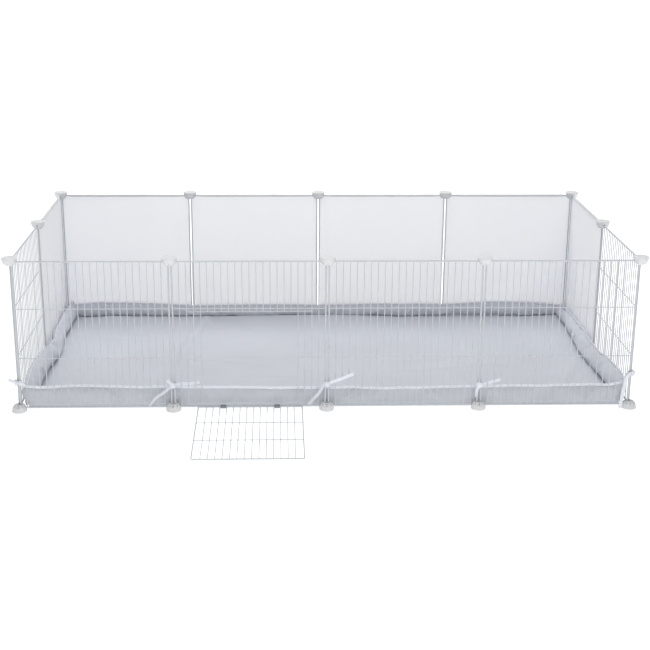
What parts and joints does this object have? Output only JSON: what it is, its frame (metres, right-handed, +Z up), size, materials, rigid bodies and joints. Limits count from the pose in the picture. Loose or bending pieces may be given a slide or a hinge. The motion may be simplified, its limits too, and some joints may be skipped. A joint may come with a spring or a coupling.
{
  "type": "pet playpen",
  "caption": "Low rectangular indoor playpen for small pets: clipped wire and clear sheet panels round a padded mat, with a drop-down wire door.",
  "frame": {"origin": "on the floor under the middle of the pen, in the plane of the mat's underside", "axes": "+X along the pen's length to the right, +Y towards the back, so that the door opens towards -Y, +Z up"},
  "size_m": [1.438, 0.9987, 0.3624],
  "materials": {
    "white_wire": "smooth white powder coat on steel wire",
    "clear_sheet": "frosted clear plastic film",
    "white_plastic": "moulded, satin",
    "grey_fabric": "soft woven polyester, padded",
    "white_ribbon": "woven tape",
    "clip_steel": "folded strip"
  },
  "bodies": {
    "root": {"connector_low_1": "white_plastic", "connector_low_10": "white_plastic", "connector_low_11": "white_plastic", "connector_low_12": "white_plastic", "connector_low_2": "white_plastic", "connector_low_3": "white_plastic", "connector_low_4": "white_plastic", "connector_low_5": "white_plastic", "connector_low_6": "white_plastic", "connector_low_7": "white_plastic", "connector_low_8": "white_plastic", "connector_low_9": "white_plastic", "connector_top_1": "white_plastic", "connector_top_10": "white_plastic", "connector_top_11": "white_plastic", "connector_top_12": "white_plastic", "connector_top_2": "white_plastic", "connector_top_3": "white_plastic", "connector_top_4": "white_plastic", "connector_top_5": "white_plastic", "connector_top_6": "white_plastic", "connector_top_7": "white_plastic", "connector_top_8": "white_plastic", "connector_top_9": "white_plastic", "hinge_clip_left": "clip_steel", "hinge_clip_right": "clip_steel", "mat_floor": "grey_fabric", "mat_wall_back": "grey_fabric", "mat_wall_front": "grey_fabric", "mat_wall_left": "grey_fabric", "mat_wall_right": "grey_fabric", "panel_back_1": "white_wire", "panel_back_2": "white_wire", "panel_back_3": "white_wire", "panel_back_4": "white_wire", "panel_front_1": "white_wire", "panel_front_2": "white_wire", "panel_front_3": "white_wire", "panel_front_4": "white_wire", "panel_left_back": "white_wire", "panel_left_front": "white_wire", "panel_right_back": "white_wire", "panel_right_front": "white_wire", "sheet_back_1": "clear_sheet", "sheet_back_2": "clear_sheet", "sheet_back_3": "clear_sheet", "sheet_back_4": "clear_sheet", "sheet_left_back": "clear_sheet", "sheet_right_back": "clear_sheet", "tie_corner_left": "white_ribbon", "tie_corner_right": "white_ribbon", "tie_front_1": "white_ribbon", "tie_front_2": "white_ribbon", "tie_front_3": "white_ribbon"},
    "door": {"door": "white_wire"}
  },
  "joints": [
    {"name": "door_hinge", "type": "hinge", "parent": "root", "child": "door", "pos_m": [-0.175, -0.3554, 0.01], "axis": [-1, 0, 0], "range_deg": [0, 91.75]}
  ]
}
